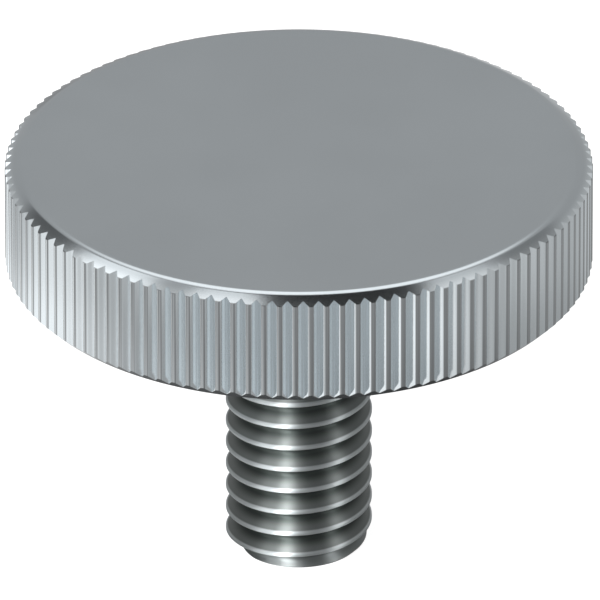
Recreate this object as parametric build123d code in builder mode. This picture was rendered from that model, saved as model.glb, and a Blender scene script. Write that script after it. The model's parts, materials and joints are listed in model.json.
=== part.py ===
from build123d import *
from build123d.topology import SkipClean
from math import ceil, pi, radians, tan
import os

# Flat knurled thumb screw, millimetres.  One solid: turned from bar, knurled, then threaded.
# Z = 0 is the seat, the underside of the head.  The head stands above it and the thread hangs below.

# ---- head
head_diameter = 24.0
head_thickness = 4.8
rim_chamfer_width = 0.6
rim_chamfer_height = 0.32
rim_edge_bevel = 0.14
foot_chamfer = 0.4

# ---- straight knurl on the rim
knurl_pitch = 0.64
knurl_depth = 0.28
knurl_angle = 80.0

# ---- thread, right-hand: the middle of its groove meets the plane of the tip at the start angle
thread_diameter = 6.0
thread_pitch = 1.0
thread_length = 12.8
thread_angle = 60.0
thread_start_angle = 162.0
thread_depth_ratio = 0.6134
crest_ratio = 0.125
tip_chamfer = 0.45

# ---- undercut between the head and the thread
relief_length = 2.6
relief_clearance = 0.2
relief_fillet = 0.4

# ---- how far a cutting tool stands clear of the metal it cuts
tool_clearance = 0.05

# ---- sizes that follow
head_radius = head_diameter / 2
top_radius = head_radius - rim_chamfer_width
chamfer_slope = rim_chamfer_height / rim_chamfer_width
knurl_count = round(pi * head_diameter / knurl_pitch)
knurl_slope = tan(radians(knurl_angle / 2))

thread_radius = thread_diameter / 2
thread_slope = tan(radians(thread_angle / 2))
thread_depth = thread_depth_ratio * thread_pitch
groove_width = thread_pitch * (1 - crest_ratio)
relief_radius = thread_radius - thread_depth - relief_clearance
relief_cone = (thread_radius - relief_radius) * thread_slope
turn_count = ceil((thread_length - relief_length + groove_width / 2) / thread_pitch) + 1
shank_sectors = round(2 / crest_ratio)
sector_angle = 360 / shank_sectors


# Head: a disc with one flat for the crest of each tooth.  The V grooves of the knurl take its corners away.
with BuildPart() as head:
    head_profile = (
        (head_radius - foot_chamfer, 0),
        (head_radius, foot_chamfer),
        (head_radius, head_thickness - rim_chamfer_height),
        (top_radius + rim_edge_bevel, head_thickness - rim_edge_bevel * chamfer_slope),
        (top_radius - rim_edge_bevel, head_thickness),
    )
    for radius, height in head_profile:
        with BuildSketch(Plane.XY.offset(height)):
            RegularPolygon(radius, knurl_count, major_radius=False)
    loft(ruled=True)
    with BuildSketch(Plane.XY):
        with PolarLocations(head_radius - knurl_depth, knurl_count):
            mouth_x = knurl_depth + tool_clearance
            mouth_y = mouth_x * knurl_slope
            Polygon((0, 0), (mouth_x, -mouth_y), (mouth_x, mouth_y), align=None)
    extrude(amount=head_thickness, mode=Mode.SUBTRACT)

# One turn of the thread's groove, at the height where its lower end starts.
with BuildPart() as groove:
    root_z = groove_width / 2 - thread_depth * thread_slope
    mouth_z = groove_width / 2 + tool_clearance * thread_slope
    root_x = thread_radius - thread_depth
    mouth_x = thread_radius + tool_clearance
    with BuildLine():
        Helix(thread_pitch, thread_pitch, thread_radius)
    with BuildSketch(Plane.XZ):
        with BuildLine():
            Polyline(
                (root_x, -root_z),
                (mouth_x, -mouth_z),
                (mouth_x, mouth_z),
                (root_x, root_z),
                close=True,
            )
        make_face()
    sweep(is_frenet=True)

# Shank: a turned neck with the undercut, then the bar for the thread.  The bar is turned in equal sectors
# that stay separate faces, so that each stretch of crest climbs by less than the crest's width.
with SkipClean():
    with BuildPart() as shank:
        with BuildSketch(Plane.XZ):
            with BuildLine():
                Polyline(
                    (0, head_thickness / 2),
                    (0, -relief_length),
                    (thread_radius, -relief_length),
                    (relief_radius, relief_cone - relief_length),
                    (relief_radius, -relief_fillet),
                )
                RadiusArc(
                    (relief_radius, -relief_fillet),
                    (relief_radius + relief_fillet, 0),
                    relief_fillet,
                )
                Polyline(
                    (relief_radius + relief_fillet, 0),
                    (relief_radius + relief_fillet, head_thickness / 2),
                    (0, head_thickness / 2),
                )
            make_face()
        revolve(axis=Axis.Z)
        for sector in range(shank_sectors):
            with BuildSketch(Plane.XZ.rotated((0, 0, sector * sector_angle))):
                Polygon(
                    (0, -relief_length),
                    (0, -thread_length),
                    (thread_radius - tip_chamfer, -thread_length),
                    (thread_radius, tip_chamfer - thread_length),
                    (thread_radius, -relief_length),
                    align=None,
                )
            revolve(axis=Axis.Z, revolution_arc=sector_angle)
        turns = [thread_pitch * (turn - 1) - thread_length for turn in range(turn_count)]
        with Locations(*[Location((0, 0, z), (0, 0, thread_start_angle)) for z in turns]):
            add(groove.part, mode=Mode.SUBTRACT)

    with BuildPart() as thumb_screw:
        add(head.part)
        add(shank.part)

thumb_screw.part.label = "thumb_screw"
os.makedirs("parts", exist_ok=True)
export_step(thumb_screw.part, "parts/thumb_screw.step")
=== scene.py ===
"""A flat knurled thumb screw, turned, knurled and threaded from plated steel, in a studio."""

import json
import math

import bpy
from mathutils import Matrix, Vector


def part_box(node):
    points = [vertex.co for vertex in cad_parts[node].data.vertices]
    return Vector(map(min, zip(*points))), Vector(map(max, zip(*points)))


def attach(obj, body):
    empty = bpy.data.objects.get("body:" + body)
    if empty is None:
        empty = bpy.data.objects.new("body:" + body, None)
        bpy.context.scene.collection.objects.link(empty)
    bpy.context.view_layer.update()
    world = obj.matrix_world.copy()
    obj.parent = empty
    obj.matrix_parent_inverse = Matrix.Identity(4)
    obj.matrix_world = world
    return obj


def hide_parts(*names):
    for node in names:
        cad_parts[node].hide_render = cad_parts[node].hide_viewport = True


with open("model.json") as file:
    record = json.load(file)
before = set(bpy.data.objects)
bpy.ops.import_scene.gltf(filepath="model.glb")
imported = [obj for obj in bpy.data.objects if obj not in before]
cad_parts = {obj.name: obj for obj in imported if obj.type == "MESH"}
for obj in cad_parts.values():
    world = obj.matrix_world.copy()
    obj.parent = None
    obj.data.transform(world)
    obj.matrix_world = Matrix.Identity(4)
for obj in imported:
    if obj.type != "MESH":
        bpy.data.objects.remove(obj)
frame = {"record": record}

bl_info = {
    "name": "Knurled Thumb Screw",
    "version": (1, 0, 0),
    "blender": (4, 5, 0),
    "location": "View3D > Sidebar > Thumb Screw",
    "description": "Models and finishes a flat knurled thumb screw in a white studio",
    "category": "Add Mesh",
}

MM = 0.001
BODY = "root"
NODE = "thumb_screw"
MOUNTS = {mount["name"]: mount for mount in frame["record"]["mounts"]}
LOW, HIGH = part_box(NODE)
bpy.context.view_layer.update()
AXIS_POINT = (0.0, 0.0, 0.0)
WHITE = (1.0, 1.0, 1.0, 1.0)

# How far a blank runs past the faces that cut it, and how near two places are that count as one.
SPARE = 0.3 * MM
CLOSE = 1e-7

# Mesh columns over one groove of the knurl, on the knurled bar and on the blank that trims it, and
# steps in a turn of the shank and its thread.
KNURL_COLUMNS = 14
BLANK_COLUMNS = 4
TURN_STEPS = 144

# A metric thread's groove: its depth and mouth as shares of the pitch, and the slope of its sides.
THREAD_DEPTH = 0.6134
THREAD_MOUTH = 7 / 8
THREAD_SLOPE = math.tan(math.radians(30.0))

# Points of a mesh nearer than this are one, and a flatter edge than this is shaded smooth.
DOUBLES = 0.0005 * MM
SMOOTH_ANGLE = math.radians(28.0)

# What the metal mirrors: a room at one level of grey, with cards and tall lamps in it.
# A card is its azimuth to the right of the front, its elevation, its reach and the width of its
# soft edge, all in degrees, and its brightness.
ROOM_LEVEL = 0.445
CARDS = (
    (180.0, 54.0, 15.0, 8.0, 1.4),
    (147.0, 79.0, 13.8, 1.5, 0.03),
    (-126.0, 76.0, 5.6, 2.0, 1.15),
    (-128.5, 55.5, 7.6, 3.0, 1.3),
    (-140.0, 38.0, 8.5, 4.0, 0.13),
    (126.0, 60.0, 6.5, 3.0, 0.85),
    (136.0, 44.0, 8.5, 4.0, 0.26),
    (0.0, 90.0, 3.2, 1.5, 0.45),
)

# A lamp is its azimuth to the right of the front, its half width and its lowest and highest
# elevation, all in degrees, and its brightness. LAMP_EDGE is the width of its soft edges, as a sine.
LAMPS = (
    (-56.0, 10.0, 2.0, 40.0, 4.5),
    (-25.5, 6.0, 2.0, 46.0, 25.0),
    (62.0, 5.0, 2.0, 46.0, 7.0),
)
LAMP_EDGE = 0.05


# ---------------------------------------------------------------- sizes and finishes


class HeadSizes(bpy.types.PropertyGroup):
    """The turned and knurled head."""

    radius: bpy.props.FloatProperty(
        name="Radius", description="From the axis to the crests of the knurl",
        default=HIGH.y, min=0.002, unit="LENGTH",
    )
    thickness: bpy.props.FloatProperty(
        name="Thickness", description="From the underside to the top face",
        default=HIGH.z, min=0.001, unit="LENGTH",
    )
    chamfer_width: bpy.props.FloatProperty(
        name="Chamfer Width", description="Reach of the top chamfer in from the rim",
        default=0.6 * MM, min=0.0, unit="LENGTH",
    )
    chamfer_height: bpy.props.FloatProperty(
        name="Chamfer Height", description="Drop of the top chamfer down the rim",
        default=0.32 * MM, min=0.0, unit="LENGTH",
    )
    edge_break: bpy.props.FloatProperty(
        name="Edge Break", description="Reach of the rounding between the top face and its chamfer",
        default=0.15 * MM, min=0.0, unit="LENGTH",
    )
    foot_chamfer: bpy.props.FloatProperty(
        name="Foot Chamfer", description="Size of the chamfer under the rim",
        default=0.4 * MM, min=0.0, unit="LENGTH",
    )


class KnurlSizes(bpy.types.PropertyGroup):
    """The straight knurl on the rim."""

    count: bpy.props.IntProperty(
        name="Count", description="Grooves round the rim", default=118, min=12,
    )
    depth: bpy.props.FloatProperty(
        name="Depth", description="Depth of a groove below its crests",
        default=0.28 * MM, min=0.0, unit="LENGTH",
    )
    angle: bpy.props.FloatProperty(
        name="Angle", description="Angle between the two sides of a groove",
        default=math.radians(80.0), subtype="ANGLE",
    )
    softness: bpy.props.FloatProperty(
        name="Softness", description="Rounding of the crests and of the bottoms of the grooves",
        default=0.035 * MM, min=0.0, unit="LENGTH",
    )


class ThreadSizes(bpy.types.PropertyGroup):
    """The threaded shank."""

    radius: bpy.props.FloatProperty(
        name="Radius", description="From the axis to the crests of the thread",
        default=MOUNTS["thread"]["dims"]["r_mm"] * MM, min=0.0005, unit="LENGTH",
    )
    length: bpy.props.FloatProperty(
        name="Length", description="From the underside of the head to the tip",
        default=-LOW.z, min=0.001, unit="LENGTH",
    )
    pitch: bpy.props.FloatProperty(
        name="Pitch", description="Rise of the thread in one turn",
        default=1.0 * MM, min=0.0002, unit="LENGTH",
    )
    start_angle: bpy.props.FloatProperty(
        name="Start Angle", description="Where the groove's middle meets the plane of the tip",
        default=math.radians(162.0), subtype="ANGLE",
    )
    tip_chamfer: bpy.props.FloatProperty(
        name="Tip Chamfer", description="Size of the chamfer round the tip",
        default=0.45 * MM, min=0.0, unit="LENGTH",
    )
    crest_break: bpy.props.FloatProperty(
        name="Crest Break", description="Size of the bevel along each edge of a crest",
        default=0.03 * MM, min=0.0, unit="LENGTH",
    )
    relief_length: bpy.props.FloatProperty(
        name="Relief Length", description="From the underside of the head to the first full crest",
        default=2.6 * MM, min=0.0, unit="LENGTH",
    )
    relief_clearance: bpy.props.FloatProperty(
        name="Relief Clearance", description="How far the undercut is below the root of the thread",
        default=0.2 * MM, min=0.0, unit="LENGTH",
    )
    neck_corner: bpy.props.FloatProperty(
        name="Neck Corner", description="Radius of the fillet between the neck and the head",
        default=0.4 * MM, min=0.0, unit="LENGTH",
    )


class FinishColours(bpy.types.PropertyGroup):
    """The plated steel."""

    plating: bpy.props.FloatVectorProperty(
        name="Plating", description="Colour of the plating on the head",
        default=(0.595, 0.645, 0.675), size=3, min=0.0, max=1.0, subtype="COLOR",
    )
    # Lighter than the plating in the knurl's grooves.
    groove: bpy.props.FloatVectorProperty(
        name="Groove", description="Colour of the fresh metal in the knurl's grooves",
        default=(0.745, 0.80, 0.83), size=3, min=0.0, max=1.0, subtype="COLOR",
    )
    # Darker on the knurl's crests: a painted dark reflection.
    crest: bpy.props.FloatVectorProperty(
        name="Crest", description="Colour where the knurl's crests are rubbed",
        default=(0.35, 0.37, 0.38), size=3, min=0.0, max=1.0, subtype="COLOR",
    )
    # Darker than the head's plating over the whole thread: painted shade, as under the head.
    thread: bpy.props.FloatVectorProperty(
        name="Thread", description="Colour of the thread's sides",
        default=(0.265, 0.285, 0.28), size=3, min=0.0, max=1.0, subtype="COLOR",
    )
    # Lighter on the thread's crests: a painted highlight.
    thread_crest_highlight: bpy.props.FloatVectorProperty(
        name="Thread Crest", description="Colour of the thread's crests, burnished by use",
        default=(0.66, 0.70, 0.71), size=3, min=0.0, max=1.0, subtype="COLOR",
    )
    # Darkest in the thread's root: painted shade in the recess.
    root: bpy.props.FloatVectorProperty(
        name="Root", description="Colour of the film of oil in the thread's root",
        default=(0.09, 0.105, 0.10), size=3, min=0.0, max=1.0, subtype="COLOR",
    )


class StudioSizes(bpy.types.PropertyGroup):
    """The floor and the camera."""

    floor_size: bpy.props.FloatProperty(
        name="Floor Size", description="Side of the square floor",
        default=3.0, min=0.1, unit="LENGTH",
    )
    azimuth: bpy.props.FloatProperty(
        name="Azimuth", description="Camera's turn to the right of the front",
        default=math.radians(0.7), subtype="ANGLE",
    )
    elevation: bpy.props.FloatProperty(
        name="Elevation", description="Camera's angle above level",
        default=math.radians(28.5), subtype="ANGLE",
    )
    distance: bpy.props.FloatProperty(
        name="Distance", description="From the camera to the screw",
        default=1.0, min=0.05, unit="LENGTH",
    )
    view_width: bpy.props.FloatProperty(
        name="View Width", description="Width of what the camera sees at the screw",
        default=24.54 * MM, min=0.001, unit="LENGTH",
    )
    aim_height: bpy.props.FloatProperty(
        name="Aim Height", description="Height on the screw's axis at the middle of the view",
        default=-1.70 * MM, unit="LENGTH",
    )
    aim_side: bpy.props.FloatProperty(
        name="Aim Side", description="How far the middle of the view lies to the right of the axis",
        default=0.045 * MM, unit="LENGTH",
    )


# ---------------------------------------------------------------- shader trees


class Socket:
    """An output socket whose arithmetic adds Math nodes to its tree."""

    def __init__(self, tree, output):
        self.tree = tree
        self.output = output

    def math(self, operation, *values):
        return self.tree.math(operation, *values)

    def __add__(self, other):
        return self.math("ADD", self, other)

    __radd__ = __add__

    def __sub__(self, other):
        return self.math("SUBTRACT", self, other)

    def __rsub__(self, other):
        return self.math("SUBTRACT", other, self)

    def __mul__(self, other):
        return self.math("MULTIPLY", self, other)

    __rmul__ = __mul__

    def __pow__(self, other):
        return self.math("POWER", self, other)

    def clamped(self):
        """Held between 0 and 1."""
        return self.math("MINIMUM", self.math("MAXIMUM", self, 0.0), 1.0)

    def ramp(self, low, high):
        """0 below low, 1 above high and smooth between them."""
        return self.tree.node(
            "ShaderNodeMapRange",
            {"interpolation_type": "SMOOTHSTEP"},
            {"Value": self, "From Min": low, "From Max": high},
        )

    def fall(self, low, high):
        """1 below low, 0 above high and smooth between them."""
        return 1 - self.ramp(low, high)


class Tree:
    """The node tree of a material or of the world, filled from empty."""

    def __init__(self, owner):
        owner.use_nodes = True
        self.nodes = owner.node_tree.nodes
        self.links = owner.node_tree.links
        self.nodes.clear()

    def node(self, kind, settings=None, inputs=None, output=0):
        """Add a node, set it up, feed its sockets with values or links and return one output.

        A socket is given by its name or its number.
        """
        made = self.nodes.new(kind)
        for name, value in (settings or {}).items():
            setattr(made, name, value)
        for name, value in (inputs or {}).items():
            if isinstance(value, Socket):
                self.links.new(value.output, made.inputs[name])
            else:
                made.inputs[name].default_value = value
        return Socket(self, made.outputs[output] if made.outputs else None)

    def math(self, operation, *values):
        return self.node("ShaderNodeMath", {"operation": operation}, dict(enumerate(values)))

    def split(self, place, axes):
        """The named axes of a vector, as one socket each."""
        return [self.node("ShaderNodeSeparateXYZ", inputs={0: place}, output=axis) for axis in axes]

    def mix(self, factor, first, second):
        """A colour between first and second."""
        settings = {"data_type": "RGBA"}
        return self.node("ShaderNodeMix", settings, {0: factor, 6: first, 7: second}, output=2)


def opaque(colour):
    """A colour with full alpha, as a colour socket wants it."""
    return (*colour, 1.0)


def make_plated_steel(colours, head, thread):
    """Bright plated steel with lathe marks, lighter in the knurl's grooves.

    Painted light and shade: a painted dark reflection on the knurl's crests, painted shade over the
    thread and deeper in its root, and painted highlights on the thread's crests and tip.
    """
    material = bpy.data.materials.new("plated_steel")
    tree = Tree(material)
    place = tree.node("ShaderNodeTexCoord", output="Object")
    x, y, z = tree.split(place, "XYZ")
    radius = (x * x + y * y) ** 0.5
    blotches = tree.node(
        "ShaderNodeTexNoise", {"noise_dimensions": "3D"},
        {"Vector": place, "Scale": 140.0, "Detail": 3.0, "Roughness": 0.55},
    )

    on_head = z.ramp(-0.1 * MM, 0.0)
    dark_crest_mask = radius.ramp(head.radius - 0.05 * MM, head.radius - 0.02 * MM)
    below_top = z.fall(head.thickness - 0.3 * MM, head.thickness - 0.1 * MM)
    in_groove = radius.ramp(head.radius - 0.6 * MM, head.radius - 0.35 * MM) * below_top
    duller = [0.95 * part for part in colours.plating]
    plating = tree.mix(blotches.ramp(0.3, 0.7), opaque(colours.plating), opaque(duller))
    grooved = tree.mix(in_groove, plating, opaque(colours.groove))
    # Darker crests on the knurl: painted dark reflection.
    head_colour = tree.mix(dark_crest_mask, grooved, opaque(colours.crest))

    depth = THREAD_DEPTH * thread.pitch
    # Darker in the thread's root: painted shade.
    in_root = radius.fall(thread.radius - depth, thread.radius - 0.3 * depth)
    # Lighter on the thread's crests: a painted highlight.
    highlighted = radius.ramp(thread.radius - 0.10 * MM, thread.radius - 0.04 * MM)
    # Lighter at the tip: a painted highlight on its chamfer and flat end.
    at_tip = 0.42 * z.fall(-thread.length + 0.3 * MM, -thread.length + 0.6 * MM)
    crest_and_tip_highlight = (highlighted + at_tip).clamped()
    # The thread's own colour is painted shade, darker than the plating on the head.
    root_shade = tree.mix(in_root, opaque(colours.thread), opaque(colours.root))
    thread_colour = tree.mix(crest_and_tip_highlight, root_shade, opaque(colours.thread_crest_highlight))

    grain = tree.node(
        "ShaderNodeTexNoise", {"noise_dimensions": "3D"},
        {"Vector": place, "Scale": 9000.0, "Detail": 2.0, "Roughness": 0.6},
    )
    lathe_marks = tree.node(
        "ShaderNodeTexNoise", {"noise_dimensions": "1D"},
        {"W": radius, "Scale": 12000.0, "Detail": 2.0, "Roughness": 0.6},
    )
    relief = (lathe_marks * 0.6 + grain * 0.4) * on_head + grain * (1 - on_head)
    normal = tree.node(
        "ShaderNodeBump", inputs={"Strength": 0.12, "Distance": 0.01 * MM, "Height": relief},
    )
    head_metal = tree.node(
        "ShaderNodeBsdfPrincipled",
        inputs={
            "Base Color": head_colour, "Metallic": 1.0, "Roughness": 0.12 + 0.05 * blotches,
            "Normal": normal,
        },
    )
    thread_metal = tree.node(
        "ShaderNodeBsdfPrincipled",
        inputs={
            "Base Color": thread_colour, "Metallic": 1.0, "Roughness": 0.5 + 0.08 * blotches,
            "Anisotropic": 0.9, "Anisotropic Rotation": 0.25, "Normal": normal,
        },
    )
    shader = tree.node("ShaderNodeMixShader", inputs={0: on_head, 1: thread_metal, 2: head_metal})
    tree.node("ShaderNodeOutputMaterial", inputs={"Surface": shader})
    return material


def make_floor_paper():
    """Paper that the camera sees white, open from below.

    The metal mirrors a painted pattern of light on it instead, round a painted copy of the screw's
    soft shadow.
    """
    material = bpy.data.materials.new("floor_paper")
    tree = Tree(material)
    place = tree.node("ShaderNodeTexCoord", output="Object")
    x, y = tree.split(place, "XY")
    away = (x * x + y * y) ** 0.5

    # The shadow, with a lit spot for the flat end of the tip.
    under_tip = away.fall(2.3 * MM, 2.5 * MM)
    shade = 0.12 + 0.88 * away.ramp(7 * MM, 22 * MM) + 0.88 * under_tip

    # The light on the left: a wash, a ring and a pool.
    left = x.fall(-20 * MM, 10 * MM) * (1 - 0.84 * y.ramp(12 * MM, 28 * MM))
    left = left * (0.2 + 0.8 * x.ramp(-38 * MM, -23 * MM))
    left_ring = away.ramp(29 * MM, 36 * MM) * x.fall(-15 * MM, -2 * MM) * y.fall(0.0, 14 * MM)
    left_pool = x.fall(-37 * MM, -26 * MM) * y.ramp(-14 * MM, -3 * MM) * y.fall(8 * MM, 20 * MM)

    # The light on the right: a ring and a pool.
    right_ring = away.ramp(35.5 * MM, 39.5 * MM) * x.ramp(-8 * MM, 16 * MM)
    right_ring = right_ring * (1 - 0.35 * x.ramp(14 * MM, 26 * MM))
    right_pool = x.ramp(26 * MM, 36 * MM) * y.ramp(-26 * MM, -8 * MM) * y.fall(10 * MM, 20 * MM)

    # The painted light is a little darker further out.
    rim = 1 - 0.25 * away.ramp(35 * MM, 39 * MM)
    lit = (
        0.68 * left + 0.18 * left_ring + 1.5 * left_pool
        + 0.48 * right_ring + 0.2 * right_pool
    )
    mirrored_level = (0.38 + lit) * rim * shade

    seen = tree.node("ShaderNodeLightPath", output="Is Camera Ray")
    mirrored = tree.node("ShaderNodeLightPath", output="Is Glossy Ray")
    paper = tree.node("ShaderNodeBsdfDiffuse", inputs={"Color": (0.3, 0.3, 0.3, 1.0)})
    lift = tree.node("ShaderNodeEmission", inputs={"Color": WHITE, "Strength": 0.9})
    lifted = tree.node("ShaderNodeAddShader", inputs={0: paper, 1: lift})
    pattern = tree.node("ShaderNodeEmission", inputs={"Color": WHITE, "Strength": mirrored_level})
    bounced = tree.node("ShaderNodeMixShader", inputs={0: mirrored, 1: paper, 2: pattern})
    shown = tree.node("ShaderNodeMixShader", inputs={0: seen, 1: bounced, 2: lifted})
    open_side = tree.node("ShaderNodeBsdfTransparent")
    below = tree.node("ShaderNodeNewGeometry", output="Backfacing")
    shader = tree.node("ShaderNodeMixShader", inputs={0: below, 1: shown, 2: open_side})
    tree.node("ShaderNodeOutputMaterial", inputs={"Surface": shader})
    return material


# ---------------------------------------------------------------- modelling helpers


def deselect_all():
    """Leave edit mode with nothing selected."""
    if bpy.context.mode != "OBJECT":
        bpy.ops.object.mode_set(mode="OBJECT")
    bpy.ops.object.select_all(action="DESELECT")


def make_active(piece):
    """Select one piece and nothing else."""
    deselect_all()
    piece.select_set(True)
    bpy.context.view_layer.objects.active = piece


def pick(piece, kind, test):
    """Enter edit mode with only the vertices, edges or faces selected that pass test(place)."""
    make_active(piece)
    bpy.ops.object.mode_set(mode="EDIT")
    bpy.ops.mesh.select_mode(type=kind)
    bpy.ops.mesh.select_all(action="DESELECT")
    bpy.ops.object.mode_set(mode="OBJECT")
    mesh = piece.data
    if kind == "VERT":
        for vertex in mesh.vertices:
            vertex.select = test(vertex.co)
    elif kind == "FACE":
        for face in mesh.polygons:
            face.select = test(face.center)
    else:
        for edge in mesh.edges:
            first, last = (mesh.vertices[i].co for i in edge.vertices)
            edge.select = test((first + last) / 2)
    bpy.ops.object.mode_set(mode="EDIT")


def add_cylinder(name, vertices, radius, low, high):
    """A closed upright cylinder on the axis, between two heights."""
    deselect_all()
    bpy.ops.mesh.primitive_cylinder_add(
        vertices=vertices, radius=radius, depth=high - low, end_fill_type="NGON",
        location=(0.0, 0.0, (low + high) / 2),
    )
    piece = bpy.context.active_object
    piece.name = name
    bpy.ops.object.transform_apply(location=True, rotation=True, scale=True)
    return piece


def turn_on(piece, outline):
    """Draw a flat end of a turned piece on through an outline of (radius, height)."""
    for (radius, height), (new_radius, new_height) in zip(outline, outline[1:]):
        pick(piece, "FACE", lambda place: abs(place.z - height) < CLOSE)
        bpy.ops.mesh.extrude_region_move(
            TRANSFORM_OT_translate={"value": (0.0, 0.0, new_height - height)}
        )
        scale = new_radius / radius
        bpy.ops.transform.resize(value=(scale, scale, 1.0), center_override=AXIS_POINT)
        bpy.ops.object.mode_set(mode="OBJECT")


def combine(piece, tool, operation):
    """Cut, join or keep the common part with another closed piece, which is used up."""
    make_active(piece)
    modifier = piece.modifiers.new(operation, "BOOLEAN")
    modifier.operation = operation
    modifier.object = tool
    modifier.solver = "EXACT"
    bpy.ops.object.modifier_apply(modifier=modifier.name)
    bpy.data.objects.remove(tool)


# ---------------------------------------------------------------- the screw's own shapes


def groove_depth(offset, knurl, head):
    """Depth of the knurl at a distance along the rim from the middle of a crest."""
    pitch = math.tau * head.radius / knurl.count
    slope = math.tan(knurl.angle / 2)
    half_mouth = knurl.depth * slope
    side = (abs(offset) - (pitch / 2 - half_mouth)) / slope
    soft = knurl.softness
    rounded = (side + math.hypot(side, soft)) / 2
    spare = knurl.depth - rounded
    return knurl.depth - (spare + math.hypot(spare, soft)) / 2


def make_knurled_bar(head, knurl):
    """A disc whose rim has the knurl's section from face to face."""
    around = knurl.count * KNURL_COLUMNS
    bar = add_cylinder("head", around, head.radius, -SPARE, head.thickness + SPARE)
    pitch = math.tau * head.radius / knurl.count
    crest_level = groove_depth(0.0, knurl, head)

    def column_of(place):
        return round(math.atan2(place.y, place.x) / math.tau * around) % KNURL_COLUMNS

    for column in range(KNURL_COLUMNS):
        offset = pitch * (column / KNURL_COLUMNS - 0.5)
        depth = groove_depth(offset, knurl, head) - crest_level
        scale = 1.0 - depth / head.radius
        pick(bar, "VERT", lambda place: column_of(place) == column)
        bpy.ops.transform.resize(value=(scale, scale, 1.0), center_override=AXIS_POINT)
        bpy.ops.object.mode_set(mode="OBJECT")
    return bar


def make_head_blank(head, knurl):
    """What the lathe leaves of the head: both faces and the chamfers, carried on past the rim."""
    slope = head.chamfer_height / head.chamfer_width
    outer = head.radius + SPARE
    foot_top = head.foot_chamfer + SPARE
    top_start = head.thickness - head.chamfer_height - SPARE * slope
    around = knurl.count * BLANK_COLUMNS
    blank = add_cylinder("head_blank", around, outer, foot_top, top_start)
    turn_on(blank, [(outer, top_start), (head.radius - head.chamfer_width, head.thickness)])
    turn_on(blank, [(outer, foot_top), (head.radius - head.foot_chamfer, 0.0)])
    pick(blank, "FACE", lambda place: place.z > head.thickness - CLOSE)
    bpy.ops.mesh.region_to_loop()
    bpy.ops.mesh.bevel(offset=head.edge_break, segments=5, affect="EDGES")
    pick(blank, "FACE", lambda place: place.z > head.thickness - CLOSE)
    bpy.ops.mesh.inset(thickness=head.edge_break, depth=0.0)
    bpy.ops.object.mode_set(mode="OBJECT")
    return blank


def make_shank(thread):
    """The turned shank: chamfered tip, bar for the thread, undercut and neck."""
    neck = thread.radius - THREAD_DEPTH * thread.pitch - thread.relief_clearance
    cone = (thread.radius - neck) * THREAD_SLOPE
    corner = thread.neck_corner

    # The neck runs on into the head, and stands a hair outside its fillet there, so that the two
    # pieces meet cleanly.
    sunk = 1.0 * MM
    overlap = 0.02 * MM
    turns = [math.radians(18.0 * step) for step in range(5)]
    fillet = [
        (neck + corner * (1 - math.cos(turn)), corner * (math.sin(turn) - 1)) for turn in turns
    ]
    shank = add_cylinder("shank", TURN_STEPS, thread.radius, -thread.length, -thread.relief_length)
    turn_on(shank, [
        (thread.radius, -thread.relief_length),
        (neck, cone - thread.relief_length),
        *fillet,
        (neck + corner + overlap, overlap / 2),
        (neck + corner + overlap, sunk),
    ])
    pick(shank, "FACE", lambda place: place.z < -thread.length + CLOSE)
    bpy.ops.mesh.region_to_loop()
    bpy.ops.mesh.bevel(offset=thread.tip_chamfer, segments=1, affect="EDGES")
    bpy.ops.object.mode_set(mode="OBJECT")
    return shank


def draw_groove_section(thread):
    """The outline of the thread's groove: rounded root, straight sides and lips for the crests."""
    depth = THREAD_DEPTH * thread.pitch
    root = thread.radius - depth
    lip = thread.radius - thread.crest_break
    outside = thread.radius + thread.crest_break
    half_mouth = THREAD_MOUTH / 2 * thread.pitch
    half_root = half_mouth - depth * THREAD_SLOPE
    half_lip = half_mouth - thread.crest_break * THREAD_SLOPE
    root_rounding = 0.07 * thread.pitch

    deselect_all()
    bpy.ops.mesh.primitive_plane_add(size=1.0, rotation=(math.pi / 2, 0.0, 0.0))
    groove = bpy.context.active_object
    groove.name = "thread_groove"
    groove.scale = (lip - root, 2 * half_lip, 1.0)
    groove.location = ((lip + root) / 2, 0.0, 0.0)
    bpy.ops.object.transform_apply(location=True, rotation=True, scale=True)
    pick(groove, "VERT", lambda place: place.x < (lip + root) / 2)
    bpy.ops.transform.resize(value=(1.0, 1.0, half_root / half_lip), center_override=AXIS_POINT)
    bpy.ops.mesh.bevel(offset=root_rounding, segments=3, affect="VERTICES")
    pick(groove, "EDGE", lambda place: place.x > lip - CLOSE)
    bpy.ops.mesh.extrude_region_move(TRANSFORM_OT_translate={"value": (outside - lip, 0.0, 0.0)})
    spread = (half_lip + 2 * thread.crest_break) / half_lip
    bpy.ops.transform.resize(value=(1.0, 1.0, spread), center_override=AXIS_POINT)
    bpy.ops.mesh.select_all(action="SELECT")
    bpy.ops.mesh.dissolve_faces()
    bpy.ops.mesh.select_all(action="SELECT")
    bpy.ops.mesh.delete(type="ONLY_FACE")
    bpy.ops.object.mode_set(mode="OBJECT")
    return groove


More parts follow.
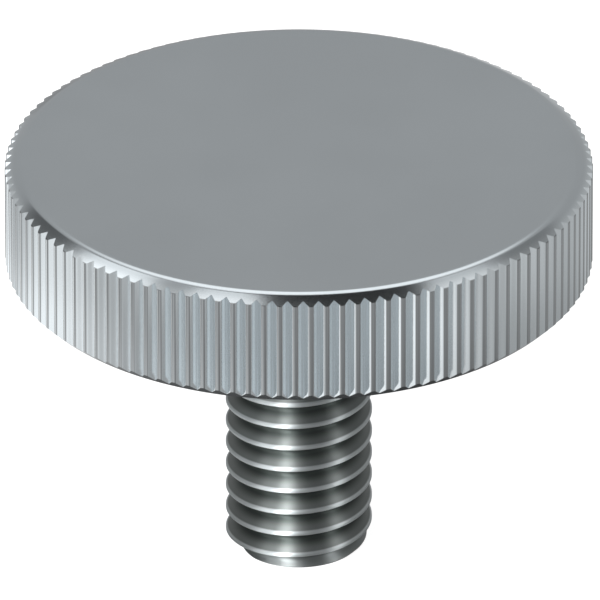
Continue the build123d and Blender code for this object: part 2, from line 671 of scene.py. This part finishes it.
def make_thread_groove(thread):
    """The metal that the thread's groove takes away, as one long closed screw-shaped bar."""
    groove = draw_groove_section(thread)
    groove.rotation_euler = (0.0, 0.0, thread.start_angle)
    groove.location = (0.0, 0.0, -thread.length - thread.pitch)
    bpy.ops.object.transform_apply(location=True, rotation=True, scale=True)
    half_mouth = THREAD_MOUTH / 2 * thread.pitch
    threaded_length = thread.length - thread.relief_length
    modifier = groove.modifiers.new("turns", "SCREW")
    modifier.axis = "Z"
    modifier.angle = math.tau
    modifier.screw_offset = thread.pitch
    modifier.iterations = math.ceil((threaded_length + half_mouth) / thread.pitch) + 1
    modifier.steps = modifier.render_steps = TURN_STEPS
    modifier.use_merge_vertices = False
    bpy.ops.object.modifier_apply(modifier=modifier.name)
    bpy.ops.object.mode_set(mode="EDIT")
    bpy.ops.mesh.select_mode(type="EDGE")
    bpy.ops.mesh.select_all(action="DESELECT")
    bpy.ops.mesh.select_non_manifold(
        extend=False, use_wire=False, use_boundary=True, use_multi_face=False,
        use_non_contiguous=False, use_verts=False,
    )
    bpy.ops.mesh.fill_holes(sides=0)
    bpy.ops.mesh.select_all(action="SELECT")
    bpy.ops.mesh.normals_make_consistent(inside=False)
    bpy.ops.object.mode_set(mode="OBJECT")
    return groove


def finish_surface(piece, material):
    """Drop stray doubles, point the faces outwards, smooth what is round and put on the metal."""
    make_active(piece)
    bpy.ops.object.mode_set(mode="EDIT")
    bpy.ops.mesh.select_all(action="SELECT")
    bpy.ops.mesh.remove_doubles(threshold=DOUBLES)
    bpy.ops.mesh.normals_make_consistent(inside=False)
    bpy.ops.object.mode_set(mode="OBJECT")
    bpy.ops.object.shade_smooth_by_angle(angle=SMOOTH_ANGLE)
    piece.data.materials.clear()
    piece.data.materials.append(material)


# ---------------------------------------------------------------- the studio


def lay_floor(studio):
    """The square floor, at the height of the screw's tip."""
    deselect_all()
    bpy.ops.mesh.primitive_plane_add(size=studio.floor_size, location=(0.0, 0.0, LOW.z))
    floor = bpy.context.active_object
    floor.name = "floor"
    floor.data.materials.append(make_floor_paper())


def light_world(scene):
    """A grey room with cards and tall lamps round the screw, plain white to the camera itself."""
    world = bpy.data.worlds.new("studio")
    scene.world = world
    tree = Tree(world)
    place = tree.node("ShaderNodeTexCoord", output="Generated")
    x, y, z = tree.split(place, "XYZ")
    level = ROOM_LEVEL
    for azimuth, elevation, reach, edge, shine in CARDS:
        turn, rise = math.radians(azimuth), math.radians(elevation)
        flat = math.cos(rise)
        nearness = x * (flat * math.sin(turn)) - y * (flat * math.cos(turn)) + z * math.sin(rise)
        outer, inner = (math.cos(math.radians(reach + side * edge / 2)) for side in (1, -1))
        level = level + nearness.ramp(outer, inner) * (shine - level)
    for azimuth, half_width, low, high, shine in LAMPS:
        turn = math.radians(azimuth)
        ahead = x * math.sin(turn) - y * math.cos(turn)
        aside = tree.math("ABSOLUTE", x * math.cos(turn) + y * math.sin(turn))
        width = math.sin(math.radians(half_width))
        bottom, top = math.sin(math.radians(low)), math.sin(math.radians(high))
        lamp = ahead.ramp(0.0, LAMP_EDGE) * aside.fall(0.7 * width, 1.3 * width)
        lamp = lamp * z.ramp(bottom, bottom + LAMP_EDGE) * z.fall(top - LAMP_EDGE, top)
        level = level + lamp * (shine - level)
    seen = tree.node("ShaderNodeLightPath", output="Is Camera Ray")
    strength = seen + (1 - seen) * level
    background = tree.node("ShaderNodeBackground", inputs={"Color": WHITE, "Strength": strength})
    tree.node("ShaderNodeOutputWorld", inputs={"Surface": background})


def place_camera(scene, studio):
    """The camera, level across and aimed at a point by the screw's axis."""
    deselect_all()
    level = math.cos(studio.elevation)
    back = (
        math.sin(studio.azimuth) * level,
        -math.cos(studio.azimuth) * level,
        math.sin(studio.elevation),
    )
    aim = (
        studio.aim_side * math.cos(studio.azimuth),
        studio.aim_side * math.sin(studio.azimuth),
        studio.aim_height,
    )
    bpy.ops.object.camera_add(
        location=[point + studio.distance * step for point, step in zip(aim, back)],
        rotation=(math.pi / 2 - studio.elevation, 0.0, studio.azimuth),
    )
    camera = bpy.context.active_object
    camera.name = "camera"
    camera.data.sensor_width = 36.0
    camera.data.lens = camera.data.sensor_width * studio.distance / studio.view_width
    camera.data.clip_start = studio.distance / 10
    camera.data.clip_end = studio.distance * 10
    scene.camera = camera


# ---------------------------------------------------------------- operators


class THUMBSCREW_OT_screw(bpy.types.Operator):
    """Turn, knurl and thread the screw, and plate it"""

    bl_idname = "thumbscrew.screw"
    bl_label = "Screw"

    def execute(self, context):
        scene = context.scene
        head, knurl, thread = scene.screw_head, scene.screw_knurl, scene.screw_thread
        screw = make_knurled_bar(head, knurl)
        combine(screw, make_head_blank(head, knurl), "INTERSECT")
        shank = make_shank(thread)
        combine(shank, make_thread_groove(thread), "DIFFERENCE")
        combine(screw, shank, "UNION")
        screw.name = "knurled_thumb_screw"
        finish_surface(screw, make_plated_steel(scene.screw_finish, head, thread))
        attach(screw, BODY)
        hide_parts(NODE)
        return {"FINISHED"}


class THUMBSCREW_OT_stage(bpy.types.Operator):
    """Lay the white floor, light the studio and place the camera"""

    bl_idname = "thumbscrew.stage"
    bl_label = "Stage"

    def execute(self, context):
        studio = context.scene.screw_studio
        lay_floor(studio)
        light_world(context.scene)
        place_camera(context.scene, studio)
        return {"FINISHED"}


class THUMBSCREW_PT_panel(bpy.types.Panel):
    """The steps of the screw in the sidebar"""

    bl_idname = "THUMBSCREW_PT_panel"
    bl_label = "Thumb Screw"
    bl_space_type = "VIEW_3D"
    bl_region_type = "UI"
    bl_category = "Thumb Screw"

    def draw(self, context):
        for operator in OPERATORS:
            self.layout.operator(operator.bl_idname)


OPERATORS = (THUMBSCREW_OT_stage, THUMBSCREW_OT_screw)
GROUPS = {
    "screw_head": HeadSizes,
    "screw_knurl": KnurlSizes,
    "screw_thread": ThreadSizes,
    "screw_finish": FinishColours,
    "screw_studio": StudioSizes,
}


def register():
    for group in (*GROUPS.values(), *OPERATORS, THUMBSCREW_PT_panel):
        bpy.utils.register_class(group)
    for name, group in GROUPS.items():
        setattr(bpy.types.Scene, name, bpy.props.PointerProperty(type=group))


def unregister():
    for name in GROUPS:
        delattr(bpy.types.Scene, name)
    for group in (THUMBSCREW_PT_panel, *OPERATORS, *GROUPS.values()):
        bpy.utils.unregister_class(group)


def main():
    register()
    bpy.context.scene.view_settings.view_transform = "Standard"
    bpy.ops.thumbscrew.stage()
    bpy.ops.thumbscrew.screw()


if __name__ == "__main__":
    main()
